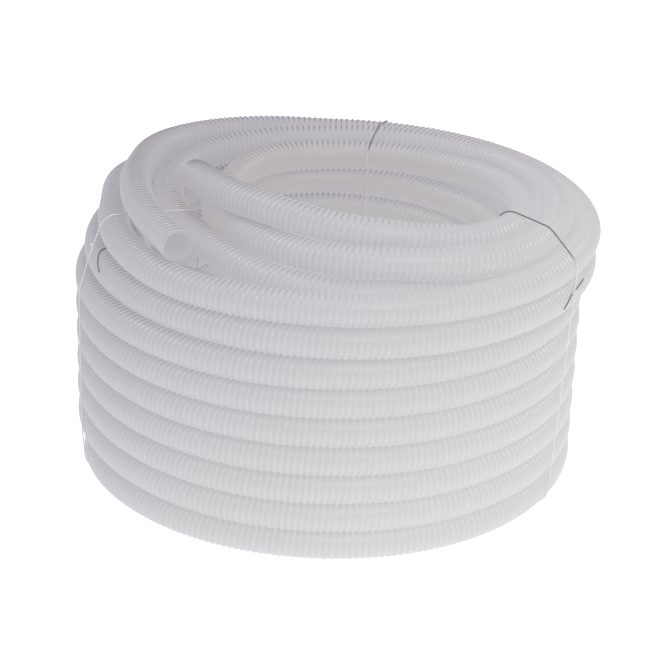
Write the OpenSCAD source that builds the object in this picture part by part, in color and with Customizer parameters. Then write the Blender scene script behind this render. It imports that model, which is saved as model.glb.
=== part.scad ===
// A coiled roll of ribbed pool and vacuum hose: one long hose, wound in three layers that stand inside
// each other, with loose turns on top and three ties around the bundle.
// Millimetres, Z up, standing on Z = 0.

/* [Hose] */
// Outer diameter over the ribs
hose_od = 45; // [40:0.5:50]
// Bore, clear through the hose
hose_bore = 38; // [30:0.5:39]
// Diameter of a loose turn between its ribs, where two turns nest
nest_d = 43; // [41:0.5:44]
// Straight length of each open end
end_len = 60; // [40:1:80]

/* [Coil] */
// Radius of the middle layer, to the middle of the hose
coil_r = 292.5; // [285:0.5:300]
// Height from one turn of a layer to the next, ribs nested
turn_rise = 42; // [41:0.1:44]
// Gap between the layers
layer_gap = 0.3; // [0.2:0.1:1]
// Level turns in each layer
turns = 7; // [7:1:7]
// How far the top turns have slipped to the right
slip = 15; // [0:1:20]
// The roll's axis, moved so that the box around the slipped top stays centred
axis_x = -8; // [-10:1:0]

/* [Ties] */
// Thickness of a tie
tie_t = 1.6; // [1:0.1:2.5]
// Width of a tie
tie_w = 3; // [2:0.1:5]
// Slack between a tie and the hose
tie_gap = 0.4; // [0.3:0.1:1]

/* [Hidden] */
$fn = 96;
layer_step = hose_od + layer_gap;
outer_r = coil_r + layer_step;
inner_r = coil_r - layer_step;
outer_ring_r = 339;
first_z = tie_t + tie_gap + hose_od / 2;
ring_z = first_z + (turns - 1) * turn_rise + (hose_od + nest_d) / 2 + layer_gap;
sweep_sides = 10;
sweep_step = 12;
// Where the hose begins, in degrees from the front: the empty stretch before it, and its first piece.
start_at = -80;
start_gap = 40;
start_turn = 14;

// Loose turns as [angle run from the front, radius, height], the hose running to the right at the front.
// From the top of the inner layer, over the front, down the back, under itself, onto the middle layer.
crossing_route = [
    [0, 247, 321], [90, 250, 321], [180, 244, 321], [202, 242, 321], [215, 240, 327], [225, 238, 338],
    [235, 227, 355], [244, 213, 375], [255, 200, 393], [270, 190, 413], [285, 185, 427], [300, 184, 433],
    [315, 187, 436], [330, 196, 439], [345, 211, 439], [360, 232, 435], [375, 251, 431], [390, 267, 421],
    [405, 279, 410], [435, 276, 398], [465, 263, 385], [500, 246, 371], [540, 233, 364], [555, 227, 365],
    [567, 217, 366], [579, 202, 365], [591, 183, 362], [603, 167, 361], [615, 158, 365], [630, 158, 374],
    [645, 164, 383], [660, 170, 389], [675, 182, 391], [690, 205, 397], [705, 236, 401], [720, 266, 404],
    [735, 290, 407], [750, 310, 404.5], [765, 323, 399], [810, 316, 388], [855, 297, 380], [900, 279, 373],
    [922, 280, 371], [945, 278, 368], [960, 266, 366], [975, 243, 364], [990, 223, 362], [1005, 211, 362],
    [1020, 210, 366], [1035, 222, 369], [1050, 243, 369], [1065, 267, 367], [1080, 285, 364],
    [1095, 292, 364], [1125, 292, 364]
];
// From the top of the outer layer once more round, overhanging on the right, and up to the open end.
outer_route = [
    [-108, 320, 364.5], [-90, 304, 364.5], [-60, 314, 364.5], [-45, 324, 364.5], [-30, 331, 364.5],
    [0, 336, 364.5], [30, 347, 364.5], [60, 354, 364.5], [90, 356, 365], [180, 325, 368], [195, 326, 373],
    [210, 325, 379], [225, 319, 385], [240, 301, 394], [255, 281, 401], [270, 274, 407], [285, 276, 411],
    [300, 285, 410], [311, 296, 409]
];
// Direction of the tie round the bundle, and of the open ends, from the front
left_tie_at = 288;
back_tie_at = 166;
right_tie_at = 61;
// The stretches of each route that a tie goes round, and those that the left one does.
whole_crossing = [0, 1125];
whole_outer = [-108, 311];
held_crossing = [900, 1125];
held_outer = [-108, 0];

// One column of a route at angle a, on a smooth curve through its rows.
function slope(route, i, c) =
    let (lo = max(i - 1, 0), hi = min(i + 1, len(route) - 1))
    (route[hi][c] - route[lo][c]) / (route[hi][0] - route[lo][0]);
function row_of(route, a) = max([for (i = [0 : len(route) - 2]) if (i == 0 || route[i][0] <= a) i]);
function value(route, a, c) =
    let (i = row_of(route, a), span = route[i + 1][0] - route[i][0], t = (a - route[i][0]) / span)
    route[i][c] * (2 * t * t * t - 3 * t * t + 1) + slope(route, i, c) * span * (t * t * t - 2 * t * t + t)
    + route[i + 1][c] * (3 * t * t - 2 * t * t * t) + slope(route, i + 1, c) * span * (t * t * t - t * t);
function point(route, a) =
    let (r = value(route, a, 1))
    [r * sin(a), -r * cos(a), value(route, a, 2)];
function first_angle(route) = route[0][0];
function last_angle(route) = route[len(route) - 1][0];
function unit(v) = v / norm(v);
function heading(route, a) = unit(point(route, a + 0.5) - point(route, a - 0.5));

// One ring of the swept hose, square to its route.
function ring(route, a, d) =
    let (c = point(route, a), t = heading(route, a), s = unit(cross(t, [0, 0, 1])), u = cross(s, t))
    [for (k = [0 : sweep_sides - 1])
        let (w = 360 * k / sweep_sides)
        c + d / 2 * (cos(w) * s + sin(w) * u)];

// A closed tube along a route.
module sweep(route, d) {
    a0 = first_angle(route);
    a1 = last_angle(route);
    rings = ceil((a1 - a0) / sweep_step);
    angles = [for (i = [0 : rings]) min(a0 + i * sweep_step, a1)];
    points = [for (a = angles) each ring(route, a, d)];
    n = sweep_sides;
    walls = [for (i = [0 : rings - 1], k = [0 : n - 1])
        [i * n + k, i * n + (k + 1) % n, (i + 1) * n + (k + 1) % n, (i + 1) * n + k]];
    first_face = [for (k = [n - 1 : -1 : 0]) k];
    last_face = [for (k = [0 : n - 1]) rings * n + k];
    polyhedron(points, concat(walls, [first_face, last_face]));
}

// The section of one layer: its turns stand on each other with their ribs nested.
module layer_section(r) {
    for (k = [0 : turns - 1])
        translate([r, first_z + k * turn_rise])
            circle(d = hose_od);
}

module outer_layer() {
    color([0.82, 0.82, 0.84])
        translate([axis_x, 0, 0])
            rotate_extrude()
                layer_section(outer_r);
}

module middle_layer() {
    color([0.80, 0.80, 0.82])
        translate([axis_x, 0, 0])
            rotate_extrude()
                layer_section(coil_r);
}

// The section of the space that the first turn gives up where the hose begins.
module start_section(top) {
    translate([inner_r - hose_od, 0])
        square([2 * hose_od, top]);
}

// The inner layer stands open at its bottom turn, where the hose begins.
module inner_layer() {
    color([0.78, 0.78, 0.80])
        translate([axis_x, 0, 0])
            difference() {
                rotate_extrude()
                    layer_section(inner_r);
                rotate_extrude(angle = start_gap + start_turn, start = -90 + start_at)
                    start_section(first_z + turn_rise / 2);
            }
}

// The first stretch of the hose, with its open mouth.
module inner_end() {
    color([0.80, 0.80, 0.82])
        translate([axis_x, 0, 0])
            rotate_extrude(angle = start_turn, start = -90 + start_at + start_gap)
                intersection() {
                    translate([inner_r, first_z])
                        difference() {
                            circle(d = hose_od);
                            circle(d = hose_bore);
                        }
                    start_section(first_z + turn_rise / 2 - layer_gap / 2);
                }
}

// The turn above a layer, slipped to the right in one piece.
module slipped_turn(r) {
    translate([axis_x + slip, 0, ring_z])
        rotate_extrude()
            translate([r, 0])
                circle(d = nest_d);
}

module outer_slipped_turn() {
    color([0.83, 0.83, 0.85])
        slipped_turn(outer_ring_r);
}

module middle_slipped_turn() {
    color([0.81, 0.81, 0.83])
        slipped_turn(coil_r);
}

module outer_top_turn() {
    color([0.84, 0.84, 0.86])
        translate([axis_x, 0, 0])
            sweep(outer_route, nest_d);
}

module crossing_turns() {
    color([0.83, 0.83, 0.85])
        translate([axis_x, 0, 0])
            sweep(crossing_route, nest_d);
}

// The open end of the hose: a straight piece of true tube that takes a cuff or a hose tail.
module outer_end() {
    a = last_angle(outer_route);
    h = heading(outer_route, a);
    color([0.86, 0.86, 0.88])
        translate([axis_x, 0, 0] + point(outer_route, a))
            rotate([0, acos(h[2]), atan2(h[1], h[0])])
                difference() {
                    cylinder(d = nest_d, h = end_len);
                    translate([0, 0, -1])
                        cylinder(d = hose_bore, h = end_len + 2);
                }
}

// Where the swept turns cross a tie's plane, as [radius, height]: a sweep runs straight between its rings.
function chord_place(route, a) =
    let (lo = first_angle(route) + floor((a - first_angle(route)) / sweep_step) * sweep_step)
    let (p = point(route, lo), q = point(route, min(lo + sweep_step, last_angle(route))))
    let (side = [cos(a), sin(a), 0], t = -(p * side) / ((q - p) * side), c = p + t * (q - p))
    [norm([c[0], c[1]]), c[2]];
function swept_places(route, at, stretch) =
    [for (j = [-1 : 3])
        let (a = at + 360 * j)
        if (a >= stretch[0] && a < stretch[1]) chord_place(route, a)];
function layer_places(r) = [[r, first_z], [r, first_z + (turns - 1) * turn_rise]];
function slipped_place(r, at) = [slip * sin(at) + sqrt(r * r - pow(slip * cos(at), 2)), ring_z];
function bundle(at, crossing, outer) = concat(
    layer_places(outer_r), layer_places(coil_r), layer_places(inner_r), [slipped_place(outer_ring_r, at)],
    swept_places(outer_route, at, outer), swept_places(crossing_route, at, crossing));

module taut_outline(places, slack) {
    hull()
        for (p = places)
            translate(p)
                circle(d = hose_od + 2 * slack, $fn = 32);
}

// A tie lies flat and taut round the layers and the stretches of the loose turns that it holds.
module tie(at, crossing = whole_crossing, outer = whole_outer) {
    places = bundle(at, crossing, outer);
    color([0.93, 0.93, 0.94])
        translate([axis_x, 0, 0])
            rotate([0, 0, at - 90])
                translate([0, tie_w / 2, 0])
                    rotate([90, 0, 0])
                        linear_extrude(tie_w)
                            difference() {
                                taut_outline(places, tie_gap + tie_t);
                                taut_outline(places, tie_gap);
                            }
}

// This tie runs under the turns that were laid on last.
module tie_left() {
    tie(left_tie_at, held_crossing, held_outer);
}

module tie_back() {
    tie(back_tie_at);
}

module tie_right() {
    tie(right_tie_at);
}

outer_layer();
middle_layer();
inner_layer();
outer_slipped_turn();
middle_slipped_turn();
outer_top_turn();
crossing_turns();
outer_end();
inner_end();
tie_left();
tie_back();
tie_right();
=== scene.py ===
import math

import bpy
import numpy as np
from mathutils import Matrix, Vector


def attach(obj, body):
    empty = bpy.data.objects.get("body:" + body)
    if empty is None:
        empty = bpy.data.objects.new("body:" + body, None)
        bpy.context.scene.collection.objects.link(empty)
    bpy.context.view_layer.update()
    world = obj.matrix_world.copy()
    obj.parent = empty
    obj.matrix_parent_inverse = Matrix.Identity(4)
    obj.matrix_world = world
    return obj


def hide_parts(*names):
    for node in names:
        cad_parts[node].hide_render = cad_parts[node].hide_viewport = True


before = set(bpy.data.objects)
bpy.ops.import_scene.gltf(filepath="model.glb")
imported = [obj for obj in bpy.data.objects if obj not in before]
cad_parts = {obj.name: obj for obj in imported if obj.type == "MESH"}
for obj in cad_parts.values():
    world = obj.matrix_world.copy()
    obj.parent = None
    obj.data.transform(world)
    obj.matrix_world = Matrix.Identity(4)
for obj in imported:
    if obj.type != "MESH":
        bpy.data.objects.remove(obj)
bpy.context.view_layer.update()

# ---------------------------------------------------------------- driving dimensions
HOSE_D = 0.045
NEST_D = 0.043
BORE_R = 0.019
WALL_R = 0.0205
RIB_PITCH = 0.0084
RIB_FOOT = 0.0022
LAYER_GAP = 0.0003
COIL_R = 0.2925
LAYER_STEP = HOSE_D + LAYER_GAP
OUTER_RING_R = 0.339
TURN_RISE = 0.042
TURNS = 7
SLIP = 0.015
AXIS = (-0.008, 0.0)
FIRST_Z = 0.0245
LAYER_TOP_Z = FIRST_Z + (TURNS - 1) * TURN_RISE
RING_Z = LAYER_TOP_Z + (HOSE_D + NEST_D) / 2 + LAYER_GAP
LOOSE_Z = 0.364
END_LEN = 0.060
START_AT = -40.0
STRING_D = 0.0019
STRING_SIDES = 8
LEFT_TIE_AT = 288.0
BACK_TIE_AT = 166.0
RIGHT_TIE_AT = 61.0

# The loose turns as (degrees run from the front, radius, height), anticlockwise from above, as in the CAD.
CROSSING = [
    (0, 0.247, 0.321), (90, 0.250, 0.321), (180, 0.244, 0.321), (202, 0.242, 0.321), (215, 0.240, 0.327),
    (225, 0.238, 0.338), (235, 0.227, 0.355), (244, 0.213, 0.375), (255, 0.200, 0.393), (270, 0.190, 0.413),
    (285, 0.185, 0.427), (300, 0.184, 0.433), (315, 0.187, 0.436), (330, 0.196, 0.439), (345, 0.211, 0.439),
    (360, 0.232, 0.435), (375, 0.251, 0.431), (390, 0.267, 0.421), (405, 0.279, 0.410), (435, 0.276, 0.398),
    (465, 0.263, 0.385), (500, 0.246, 0.371), (540, 0.233, 0.364), (555, 0.227, 0.365), (567, 0.217, 0.366),
    (579, 0.202, 0.365), (591, 0.183, 0.362), (603, 0.167, 0.361), (615, 0.158, 0.365), (630, 0.158, 0.374),
    (645, 0.164, 0.383), (660, 0.170, 0.389), (675, 0.182, 0.391), (690, 0.205, 0.397), (705, 0.236, 0.401),
    (720, 0.266, 0.404), (735, 0.290, 0.407), (750, 0.310, 0.4045), (765, 0.323, 0.399),
    (810, 0.316, 0.388), (855, 0.297, 0.380), (900, 0.279, 0.373), (922, 0.280, 0.371), (945, 0.278, 0.368),
    (960, 0.266, 0.366), (975, 0.243, 0.364), (990, 0.223, 0.362), (1005, 0.211, 0.362),
    (1020, 0.210, 0.366), (1035, 0.222, 0.369), (1050, 0.243, 0.369), (1065, 0.267, 0.367),
    (1080, 0.285, 0.364), (1095, 0.292, 0.364), (1125, 0.292, 0.364),
]
OUTER_TOP = [
    (-108, 0.320, 0.3645), (-90, 0.304, 0.3645), (-60, 0.314, 0.3645), (-45, 0.324, 0.3645),
    (-30, 0.331, 0.3645), (0, 0.336, 0.3645), (30, 0.347, 0.3645), (60, 0.354, 0.3645), (90, 0.356, 0.365),
    (180, 0.325, 0.368), (195, 0.326, 0.373), (210, 0.325, 0.379), (225, 0.319, 0.385), (240, 0.301, 0.394),
    (255, 0.281, 0.401), (270, 0.274, 0.407), (285, 0.276, 0.411), (300, 0.285, 0.410), (311, 0.296, 0.409),
]


# ---------------------------------------------------------------- the hose's route
def smooth(a, start, end):
    """0 before start, 1 after end, with no kink at either."""
    t = np.clip((a - start) / (end - start), 0, 1)
    return t * t * (3 - 2 * t)


def through_rows(rows, a):
    """Radius and height at angle a on a smooth curve through a route's rows."""
    rows = np.array(rows, float)
    x = rows[:, 0]
    i = np.clip(np.searchsorted(x, a, side="right") - 1, 0, len(x) - 2)
    lo = np.maximum(np.arange(len(x)) - 1, 0)
    hi = np.minimum(np.arange(len(x)) + 1, len(x) - 1)
    slopes = (rows[hi, 1:] - rows[lo, 1:]) / (x[hi] - x[lo])[:, None]
    span = (x[i + 1] - x[i])[:, None]
    t = (a[:, None] - x[i][:, None]) / span
    value = (rows[i, 1:] * (2 * t**3 - 3 * t**2 + 1) + slopes[i] * span * (t**3 - 2 * t**2 + t)
             + rows[i + 1, 1:] * (3 * t**2 - 2 * t**3) + slopes[i + 1] * span * (t**3 - t**2))
    return value[:, 0], value[:, 1]


def level_height(level):
    """Height of a turn's middle by its level: 0 on the floor, the slipped and the loose turn on top."""
    return np.interp(level, [0, TURNS - 1, TURNS, TURNS + 1], [FIRST_Z, LAYER_TOP_Z, RING_Z, LOOSE_Z])


def inner_layer():
    """Climbs from the hidden end, one level a turn, each step behind the front left."""
    a = np.arange(START_AT, TURNS * 360, 1.0)
    level = sum(smooth(a, 270 + 360 * k, 318 + 360 * k) for k in range(TURNS))
    r = np.full_like(a, COIL_R - LAYER_STEP)
    return a, r, level_height(level)


def middle_layer():
    """Goes down from the crossing turns, each step a little earlier in its turn, then to the outer layer."""
    start = 45
    between_steps = 338
    out_start = 225 + TURNS * 360
    out_end = out_start + 75
    a = np.arange(start, out_end, 1.0)
    steps = [smooth(a, start + between_steps * k, start + 80 + between_steps * k) for k in range(TURNS + 1)]
    level = TURNS + 1 - sum(steps)
    slip = SLIP * smooth(level, TURNS - 1, TURNS) * smooth(a, start, start + 60)
    r = COIL_R + slip * np.sin(np.radians(a)) + LAYER_STEP * smooth(a, out_start, out_end)
    return a, r, level_height(level)


def outer_layer():
    """Climbs one level a turn, each step at the back left, and meets the first row of the outer top turn."""
    end = 360 + OUTER_TOP[0][0]
    a = np.arange(-60.0, TURNS * 360 + end, 1.0)
    level = sum(smooth(a, 165 + 360 * k, 255 + 360 * k) for k in range(TURNS + 1))
    slipped = smooth(level, TURNS - 1, TURNS)
    layer_r = COIL_R + LAYER_STEP
    ring_r = OUTER_RING_R + SLIP * np.sin(np.radians(a))
    r = layer_r + slipped * (ring_r - layer_r)
    r_at_end = OUTER_RING_R + SLIP * math.sin(math.radians(end))
    r = r + smooth(a, TURNS * 360 + 165, TURNS * 360 + end) * (OUTER_TOP[0][1] - r_at_end)
    return a, r, level_height(level)


def loose(rows):
    """A stretch of loose turns, through its rows."""
    a = np.arange(rows[0][0], rows[-1][0] + 0.5, 1.0)
    r, z = through_rows(rows, a)
    return a, r, z


def in_space(r, z, at):
    """Points at a radius, a height and an angle in degrees from the front."""
    a = np.radians(at)
    return np.stack([AXIS[0] + r * np.sin(a), AXIS[1] - r * np.cos(a), z], -1)


class Route:
    """A smooth centreline by length, with a frame square to it at each point."""

    def __init__(self, points, step):
        length = self.lengths(points)
        self.s = np.arange(0, length[-1], step)
        self.p = np.stack([np.interp(self.s, length, points[:, i]) for i in range(3)], 1)
        t = np.gradient(self.p, axis=0)
        t /= np.linalg.norm(t, axis=1)[:, None]
        side = np.cross(t, [0, 0, 1.0])
        side /= np.linalg.norm(side, axis=1)[:, None]
        self.side = side
        self.up = np.cross(side, t)

    @staticmethod
    def lengths(points):
        """Length run at each of the points."""
        return np.concatenate([[0], np.cumsum(np.linalg.norm(np.diff(points, axis=0), axis=1))])

    def at(self, s, angle, radius):
        """Points at length s, at that angle round the hose and that distance from its middle."""
        def here(values):
            return np.stack([np.interp(s, self.s, values[:, i]) for i in range(3)], -1)
        p, side, up = here(self.p), here(self.side), here(self.up)
        return p + radius[..., None] * (np.cos(angle)[..., None] * side + np.sin(angle)[..., None] * up)


def softened(points, width):
    """Running mean along the route, which takes out the small kinks where its stretches join."""
    kernel = np.hanning(width + 2)[1:-1]
    kernel /= kernel.sum()
    pad = width // 2
    ends = [2 * points[0] - points[1:pad + 1][::-1], points, 2 * points[-1] - points[-pad - 1:-1][::-1]]
    padded = np.concatenate(ends)
    return np.stack([np.convolve(padded[:, i], kernel, "valid") for i in range(3)], 1)


def hose_points():
    """The whole route from the hidden end to the open one, the length at which each stretch ends, and the
    stretches of its points that were laid on after the left tie, and so lie above it."""
    stretches = [inner_layer(), loose(CROSSING), middle_layer(), outer_layer(), loose(OUTER_TOP)]
    points = softened(np.concatenate([in_space(r, z, a) for a, r, z in stretches]), 13)
    heading = points[-1] - points[-3]
    heading /= np.linalg.norm(heading)
    straight = points[-1] + heading * np.linspace(0.002, END_LEN, 30)[:, None]
    points = np.concatenate([points, straight])
    length = Route.lengths(points)
    counts = [int(c) for c in np.cumsum([len(a) for a, _, _ in stretches])]
    crossing_start = counts[0]
    top_turn_front = counts[3] - OUTER_TOP[0][0]
    above_left_tie = [(crossing_start, crossing_start + 900), (top_turn_front, len(points))]
    stretch_ends = [float(length[c - 1]) for c in counts[:-1]] + [float(length[-1])]
    return points, stretch_ends, above_left_tie


# ---------------------------------------------------------------- meshes
def mesh_object(name, points, quads, material):
    """A smooth-shaded mesh of quads, linked into the scene."""
    mesh = bpy.data.meshes.new(name)
    mesh.vertices.add(len(points))
    mesh.vertices.foreach_set("co", np.ascontiguousarray(points, dtype=np.float32).ravel())
    mesh.loops.add(quads.size)
    mesh.loops.foreach_set("vertex_index", np.ascontiguousarray(quads, dtype=np.int32).ravel())
    mesh.polygons.add(len(quads))
    mesh.polygons.foreach_set("loop_start", np.arange(0, quads.size, 4, dtype=np.int32))
    mesh.polygons.foreach_set("use_smooth", np.full(len(quads), True))
    mesh.update(calc_edges=True)
    mesh.validate()
    mesh.materials.append(material)
    obj = bpy.data.objects.new(name, mesh)
    bpy.context.scene.collection.objects.link(obj)
    return obj


def grid_quads(rows, cols, closed):
    """Quads of a grid, whose columns close on themselves if closed."""
    i = np.arange(rows - 1)[:, None]
    j = np.arange(cols if closed else cols - 1)[None, :]
    k = (j + 1) % cols
    return np.stack([i * cols + j, i * cols + k, (i + 1) * cols + k, (i + 1) * cols + j], -1).reshape(-1, 4)


def wall_tube(name, route, sides, every, material):
    """The hose's wall between the ribs: one open tube, a ring at each of the route's points it keeps."""
    keep = np.append(np.arange(0, len(route.s) - 1, every), len(route.s) - 1)
    angle = np.linspace(0, 2 * math.pi, sides, endpoint=False)
    s = np.repeat(route.s[keep][:, None], sides, 1)
    points = route.at(s, np.broadcast_to(angle, s.shape), np.full(s.shape, WALL_R))
    obj = mesh_object(name, points.reshape(-1, 3), grid_quads(len(keep), sides, True), material)
    return obj, [tuple(p) for p in route.p[keep]]


def helical_rib(name, route, start, end, around, profile, material):
    """The rib of one stretch of the hose, a helix whose section is (offset along the hose, height) pairs."""
    turns = (end - start) / RIB_PITCH
    count = int(turns * around)
    turn = np.arange(count + 1) / around
    offset = np.array([p[0] for p in profile])
    height = np.array([p[1] for p in profile])
    s = np.clip(start + RIB_PITCH * turn[:, None] + offset[None, :], 0, route.s[-1])
    angle = np.broadcast_to(2 * math.pi * (start / RIB_PITCH + turn[:, None]), s.shape)
    points = route.at(s, angle, np.broadcast_to(WALL_R + height, s.shape))
    quads = grid_quads(count + 1, len(profile), False)[:, ::-1]
    return mesh_object(name, points.reshape(-1, 3), quads, material)


def turned_rows(name, route, rows, sides, material):
    """A shape round the hose, from rows of (length along the hose, radius)."""
    angle = np.linspace(0, 2 * math.pi, sides, endpoint=False)
    s = np.repeat(np.array([row[0] for row in rows])[:, None], sides, 1)
    radius = np.repeat(np.array([row[1] for row in rows])[:, None], sides, 1)
    points = route.at(s, np.broadcast_to(angle, s.shape), radius)
    return mesh_object(name, points.reshape(-1, 3), grid_quads(len(rows), sides, True), material)


def open_mouth(name, route, mouth, inward, material):
    """The bore seen through an open end, with the wall's cut edge: inward is +1 or -1 along the route."""
    depth = np.arange(0.16, 0.002, -0.0007)
    ripple = 0.0005 * np.cos(2 * math.pi * depth / RIB_PITCH)
    rows = [(mouth + inward * d, BORE_R + r) for d, r in zip(depth, ripple)]
    rows += [(mouth + inward * 0.0004, BORE_R), (mouth, BORE_R + 0.0003), (mouth, WALL_R + 0.0006)]
    rows += [(mouth + inward * 0.0004, WALL_R + 0.0009), (mouth + inward * 0.0022, WALL_R + 0.0008)]
    rows += [(mouth + inward * 0.0026, WALL_R - 0.0001)]
    return turned_rows(name, route, rows, 48, material)


def string_tube(name, points, closed, material):
    """A string along points, as a thin mesh tube."""
    p = np.array(points, float)
    if closed:
        t = np.roll(p, -1, axis=0) - np.roll(p, 1, axis=0)
    else:
        t = np.gradient(p, axis=0)
    t /= np.linalg.norm(t, axis=1)[:, None]
    helper = np.where(np.abs(t[:, 2:3]) > 0.8, [[1.0, 0.0, 0.0]], [[0.0, 0.0, 1.0]])
    side = np.cross(t, helper)
    side /= np.linalg.norm(side, axis=1)[:, None]
    for i in range(1, len(p)):
        moved = side[i - 1] - t[i] * side[i - 1].dot(t[i])
        side[i] = moved / np.linalg.norm(moved)
    up = np.cross(side, t)
    w = np.linspace(0, 2 * math.pi, STRING_SIDES, endpoint=False)[None, :, None]
    rings = p[:, None] + STRING_D / 2 * (np.cos(w) * side[:, None] + np.sin(w) * up[:, None])
    quads = grid_quads(len(p), STRING_SIDES, True)
    if closed:
        last = (len(p) - 1) * STRING_SIDES
        j = np.arange(STRING_SIDES)
        k = (j + 1) % STRING_SIDES
        quads = np.concatenate([quads, np.stack([last + j, last + k, k, j], 1)])
    return mesh_object(name, rings.reshape(-1, 3), quads, material)


# ---------------------------------------------------------------- ties
def turns_at(points, at, above=()):
    """Where the hose passes an angle, as (radius, height), without the stretches laid above a tie."""
    x, y, z = points[:, 0] - AXIS[0], points[:, 1] - AXIS[1], points[:, 2]
    c, s = math.cos(math.radians(at)), math.sin(math.radians(at))
    along = x * s - y * c
    across = x * c + y * s
    i = np.nonzero((across[:-1] <= 0) & (across[1:] > 0) & (along[:-1] > 0))[0]
    for first, last in above:
        i = i[(i < first) | (i >= last)]
    t = -across[i] / (across[i + 1] - across[i])
    return np.stack([along[i] + t * (along[i + 1] - along[i]), z[i] + t * (z[i + 1] - z[i])], 1)


def hull(points):
    """Corners of the taut outline round points in a plane, anticlockwise."""
    pts = sorted(map(tuple, points))

    def turn(o, p, q):
        return (p[0] - o[0]) * (q[1] - o[1]) - (p[1] - o[1]) * (q[0] - o[0])

    def half(seq):
        out = []
        for q in seq:
            while len(out) > 1 and turn(out[-2], out[-1], q) <= 0:
                out.pop()
            out.append(q)
        return out[:-1]
    return np.array(half(pts) + half(pts[::-1]))


def taut_loop(points, at, above, spacing=0.006):
    """The tie's line round the bundle at an angle, as evenly spaced (radius, height) points."""
    w = np.linspace(0, 2 * math.pi, 48, endpoint=False)
    sunk = 0.0002
    reach = HOSE_D / 2 + STRING_D / 2 - sunk
    around = np.stack([np.cos(w), np.sin(w)], 1) * reach
    corners = hull((turns_at(points, at, above)[:, None] + around[None]).reshape(-1, 2))
    closed = np.concatenate([corners, corners[:1]])
    length = Route.lengths(closed)
    s = np.linspace(0, length[-1], int(length[-1] / spacing), endpoint=False)
    return np.stack([np.interp(s, length, closed[:, i]) for i in range(2)], 1)


def surface_radius(points, at, z):
    """Radius of the outside of the roll at an angle and a height."""
    turns = turns_at(points, at)
    near = turns[np.abs(turns[:, 1] - z) < HOSE_D / 2]
    return float((near[:, 0] + np.sqrt((HOSE_D / 2) ** 2 - (near[:, 1] - z) ** 2)).max())


def knot_and_tails(name, points, at, spot, tails, material, tail_material):
    """A small overhand knot on a tie, and its tails down the roll as (turn in degrees, fall in metres)."""
    t = np.linspace(0, 2 * math.pi, 60, endpoint=False)
    r, z = spot
    size = 0.0013
    out = 0.0006 + 0.0012 * np.sin(3 * t)
    across = size * (np.sin(t) + 2 * np.sin(2 * t))
    along = size * (np.cos(t) - 2 * np.cos(2 * t))
    loop = in_space(r + out, z + along, at + np.degrees(across / r))
    made = [string_tube(f"{name}_knot", loop, True, material)]
    for i, (turn, fall) in enumerate(tails):
        steps = np.linspace(0, 1, 24)
        angles = at + turn * steps
        heights = z - fall * steps**1.3
        radii = np.array([surface_radius(points, a, h) for a, h in zip(angles, heights)]) + STRING_D / 2
        radii[:4] += np.linspace(0.0012, 0, 4)
        line = softened(in_space(radii, heights, angles), 5)
        made.append(string_tube(f"{name}_tail_{i + 1}", line, False, tail_material))
    return made


def tie(name, points, at, knot_at, tails, material, tail_material, above=()):
    """One taut string round the bundle, with its knot on the outside at a height."""
    loop = taut_loop(points, at, above)
    obj = string_tube(name, in_space(loop[:, 0], loop[:, 1], at), True, material)
    outside = loop[loop[:, 0] > COIL_R]
    spot = outside[np.argmin(np.abs(outside[:, 1] - knot_at))]
    return [obj] + knot_and_tails(name, points, at, spot, tails, material, tail_material)


# ---------------------------------------------------------------- materials
def node_material(name):
    """A material with its nodes, links, shader and output."""
    mat = bpy.data.materials.new(name)
    mat.use_nodes = True
    nodes = mat.node_tree.nodes
    return mat, nodes, mat.node_tree.links, nodes["Principled BSDF"], nodes["Material Output"]


UP = (0.0, 0.0, 1.0)
DOWN = (0.0, 0.0, -1.0)
# Direction along which the painted light grows and the painted shade fades.
PAINTED_LIGHT_WAY = (0.62, -0.41, -0.66)


def ramp_along(nodes, links, vector, direction, start, end):
    """0 to 1 as a place or a normal goes from start to end along a direction."""
    dot = nodes.new("ShaderNodeVectorMath")
    dot.operation = "DOT_PRODUCT"
    dot.inputs[1].default_value = direction
    ramp = nodes.new("ShaderNodeMapRange")
    ramp.inputs["From Min"].default_value = start
    ramp.inputs["From Max"].default_value = end
    links.new(vector, dot.inputs[0])
    links.new(dot.outputs["Value"], ramp.inputs["Value"])
    return ramp.outputs["Result"]


def product(nodes, links, one, other):
    both = nodes.new("ShaderNodeMath")
    both.operation = "MULTIPLY"
    links.new(one, both.inputs[0])
    links.new(other, both.inputs[1])
    return both.outputs["Value"]


def mixed(nodes, links, factor, first, second):
    """A colour between the first and the second: a constant one is a tuple, any other a node's output."""
    mix = nodes.new("ShaderNodeMix")
    mix.data_type = "RGBA"
    links.new(factor, mix.inputs["Factor"])
    for socket, colour in (("A", first), ("B", second)):
        if isinstance(colour, tuple):
            mix.inputs[socket].default_value = (*colour, 1)
        else:
            links.new(colour, mix.inputs[socket])
    return mix.outputs["Result"]


def inside_eye(nodes, links, place):
    """Mask of the painted warm light: 1 down in the eye of the roll,
    0 on its outside and on the loose turns that stand high over it.
    """
    flat = nodes.new("ShaderNodeVectorMath")
    flat.operation = "MULTIPLY"
    flat.inputs[1].default_value = (1.0, 1.0, 0.0)
    distance = nodes.new("ShaderNodeVectorMath")
    distance.operation = "LENGTH"
    inside = nodes.new("ShaderNodeMapRange")
    inside.interpolation_type = "SMOOTHSTEP"
    inside.inputs["From Min"].default_value = 0.250
    inside.inputs["From Max"].default_value = 0.200
    links.new(place, flat.inputs[0])
    links.new(flat.outputs["Vector"], distance.inputs[0])
    links.new(distance.outputs["Value"], inside.inputs["Value"])
    low_down = ramp_along(nodes, links, place, DOWN, -0.415, -0.375)
    return product(nodes, links, inside.outputs["Result"], low_down)


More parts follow.
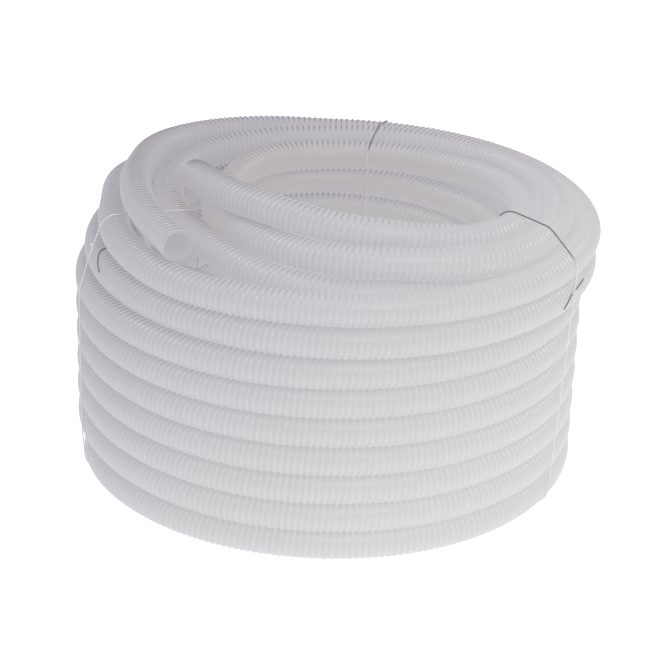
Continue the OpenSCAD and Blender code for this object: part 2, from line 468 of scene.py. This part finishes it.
def painted_shade_on_top(nodes, links, place, colour):
    """Painted shade: the colour made darker on faces that look up, most of all high at the back left."""
    normal = nodes.new("ShaderNodeNewGeometry").outputs["Normal"]
    faces_up = ramp_along(nodes, links, normal, UP, 0.70, 0.96)
    back_left = ramp_along(nodes, links, place, PAINTED_LIGHT_WAY, 0.03, -0.36)
    # Painted shade: the dark colour that the faces looking up are mixed towards.
    return mixed(nodes, links, product(nodes, links, faces_up, back_left), colour, (0.108, 0.103, 0.111))


def milky_plastic(name, shade, light, roughness, painted_top_shade=False):
    """Thin half-clear plastic: painted shade high at the back left, painted light low at the front right, a
    painted warmer light in the eye, and a faint even painted glow for the light that the thin wall scatters
    inside itself."""
    mat, nodes, links, shader, output = node_material(name)
    place = nodes.new("ShaderNodeTexCoord").outputs["Object"]
    # Painted light and shade: shade high at the back left, light low at the front right.
    painted_light = ramp_along(nodes, links, place, PAINTED_LIGHT_WAY, -0.45, 0.18)
    colour = mixed(nodes, links, painted_light, shade, light)
    # Painted light: a warmer tone down in the eye of the roll.
    colour = mixed(nodes, links, inside_eye(nodes, links, place), colour, (0.203, 0.194, 0.194))
    # Painted shade on faces that look up.
    if painted_top_shade:
        colour = painted_shade_on_top(nodes, links, place, colour)
    links.new(colour, shader.inputs["Base Color"])
    # Painted glow: the emission makes the hose shine faintly, though it is no lamp.
    links.new(colour, shader.inputs["Emission Color"])
    shader.inputs["Emission Strength"].default_value = 2.6
    shader.inputs["Roughness"].default_value = roughness
    shader.inputs["IOR"].default_value = 1.55
    soft = nodes.new("ShaderNodeBsdfTranslucent")
    links.new(colour, soft.inputs["Color"])
    mix = nodes.new("ShaderNodeMixShader")
    mix.inputs["Fac"].default_value = 0.35
    links.new(shader.outputs["BSDF"], mix.inputs[1])
    links.new(soft.outputs["BSDF"], mix.inputs[2])
    links.new(mix.outputs["Shader"], output.inputs["Surface"])
    return mat


def string_plastic(name, shade_from):
    """Clear string: it catches the light where it hangs, and has painted shade from a height in metres
    upwards.
    """
    mat, nodes, links, shader, _ = node_material(name)
    place = nodes.new("ShaderNodeTexCoord").outputs["Object"]
    shaded_above = ramp_along(nodes, links, place, UP, shade_from, shade_from + 0.012)
    # Painted shade: dark above the height, pale below.
    colour = mixed(nodes, links, shaded_above, (0.74, 0.73, 0.74), (0.19, 0.18, 0.19))
    links.new(colour, shader.inputs["Base Color"])
    shader.inputs["Roughness"].default_value = 0.45
    return mat


def pale_floor():
    """White ground that is lit from within, so that only a breath of the roll's shadow falls on it."""
    mat, nodes, links, shader, _ = node_material("floor_white")
    shader.inputs["Base Color"].default_value = (0.9, 0.9, 0.9, 1)
    shader.inputs["Roughness"].default_value = 0.9
    shader.inputs["Emission Color"].default_value = (1, 1, 1, 1)
    shader.inputs["Emission Strength"].default_value = 0.55
    far = 30
    mesh = bpy.data.meshes.new("floor")
    mesh.from_pydata([(-far, -far, 0), (far, -far, 0), (far, far, 0), (-far, far, 0)], [], [(0, 1, 2, 3)])
    mesh.materials.append(mat)
    floor = bpy.data.objects.new("floor", mesh)
    bpy.context.scene.collection.objects.link(floor)


# ---------------------------------------------------------------- light and camera
def camera():
    """The photograph's view: from the front, looking down, with a long lens and a slight tilt."""
    down = 24.74
    tilt = 1.84
    data = bpy.data.cameras.new("camera")
    data.lens = 116.0
    data.sensor_width = 36.0
    data.shift_x = -0.0035
    data.clip_end = 100.0
    cam = bpy.data.objects.new("camera", data)
    bpy.context.scene.collection.objects.link(cam)
    cam.location = (AXIS[0], -2.746, 1.454)
    cam.rotation_euler = (math.radians(90 - down), 0, 0)
    bpy.context.view_layer.update()
    cam.rotation_euler.rotate_axis("Z", math.radians(tilt))
    bpy.context.scene.camera = cam


def area_light(name, place, size, power):
    """A square light that looks at the middle of the roll."""
    target = Vector((0, 0, 0.2))
    data = bpy.data.lights.new(name, "AREA")
    data.shape = "SQUARE"
    data.size = size
    data.energy = power
    lamp = bpy.data.objects.new(name, data)
    bpy.context.scene.collection.objects.link(lamp)
    lamp.location = place
    lamp.rotation_euler = (target - Vector(place)).to_track_quat("-Z", "Y").to_euler()


def studio():
    """Soft white light all round, a key light from the front right and a weaker one from above."""
    world = bpy.data.worlds.new("studio")
    bpy.context.scene.world = world
    world.use_nodes = True
    background = world.node_tree.nodes["Background"]
    background.inputs["Color"].default_value = (1, 1, 1, 1)
    background.inputs["Strength"].default_value = 0.55
    area_light("key", (0.7, -2.1, 2.7), 1.1, 29)
    area_light("top", (-0.3, 0.4, 2.6), 1.6, 16)
    bpy.context.scene.view_settings.view_transform = "Standard"


# ---------------------------------------------------------------- the roll
# Sections of the rib, as (offset along the hose, height over the wall), finer where they are seen best.
RIB_FEET = [(-RIB_FOOT, -0.0002), (RIB_FOOT, -0.0002)]
FINE_RIB = [RIB_FEET[0], (-0.0012, 0.0010), (0, 0.0015), (0.0012, 0.0010), RIB_FEET[1]]
PLAIN_RIB = [RIB_FEET[0], (-0.0008, 0.0014), (0.0008, 0.0014), RIB_FEET[1]]
COARSE_RIB = [RIB_FEET[0], (0, 0.0015), RIB_FEET[1]]


def hose(points, ends):
    """The hose as one long wall tube, its rib in stretches, and its two open mouths."""
    inner_end, crossing_end, middle_end, outer_end, total = ends
    first = 0.0035
    route = Route(points, 0.0015)
    last = route.s[-1] - first
    # Shade and light are the painted shaded and lit tones of the one plastic.
    wall_plastic = milky_plastic("hose_wall", (0.183, 0.175, 0.192), (0.255, 0.255, 0.257), 0.40)
    # The rib's colours are a touch lighter than the wall's, a painted highlight on the ribs.
    rib_plastic = milky_plastic("hose_rib", (0.194, 0.186, 0.203), (0.268, 0.268, 0.270), 0.24, True)
    wall, path = wall_tube("hose_wall", route, 16, 10, wall_plastic)
    third = (outer_end - middle_end) / 3
    stretches = [
        ("rib_inner", first, inner_end, 18, PLAIN_RIB),
        ("rib_crossing", inner_end, crossing_end, 24, FINE_RIB),
        ("rib_middle", crossing_end, middle_end, 14, COARSE_RIB),
        ("rib_outer_low", middle_end, middle_end + third, 24, FINE_RIB),
        ("rib_outer_mid", middle_end + third, middle_end + 2 * third, 24, FINE_RIB),
        ("rib_outer_high", middle_end + 2 * third, outer_end, 24, FINE_RIB),
        ("rib_top", outer_end, last, 24, FINE_RIB),
    ]
    ribs = [helical_rib(name, route, start, end, around, profile, rib_plastic)
            for name, start, end, around, profile in stretches]
    mouths = [open_mouth("mouth_outer", route, route.s[-1], -1, wall_plastic),
              open_mouth("mouth_inner", route, 0.0, 1, wall_plastic)]
    for piece in [wall, *ribs, *mouths]:
        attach(piece, "root")
    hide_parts("inner_layer", "middle_layer", "outer_layer", "middle_slipped_turn",
                "outer_slipped_turn", "crossing_turns", "outer_top_turn", "inner_end", "outer_end")


def ties(points, above_left_tie):
    """The three ties: the left one lit all along but for its painted shaded tails, the others painted shaded
    on top.
    """
    # Painted shade on the string from 0.374 m upwards.
    string = string_plastic("tie_string", 0.374)
    lit_string = string_plastic("tie_string_lit", 0.500)
    # Painted shade all along, for tails of the left and right ties.
    shaded_string = string_plastic("tie_string_shaded", 0.0)
    made = {
        "tie_left": tie("string_left", points, LEFT_TIE_AT, 0.345, [(9, 0.016), (-4, -0.004)], lit_string,
                        shaded_string, above_left_tie),
        "tie_back": tie("string_back", points, BACK_TIE_AT, 0.300, [(6, 0.030), (-5, 0.034)], string, string),
        "tie_right": tie("string_right", points, RIGHT_TIE_AT, 0.330, [(7, -0.003), (-4, 0.014)], string,
                         shaded_string),
    }
    for node, pieces in made.items():
        for piece in pieces:
            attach(piece, "root")
        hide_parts(node)


camera()
pale_floor()
studio()
hose_line, stretch_ends, above_left_tie = hose_points()
hose(hose_line, stretch_ends)
ties(hose_line, above_left_tie)
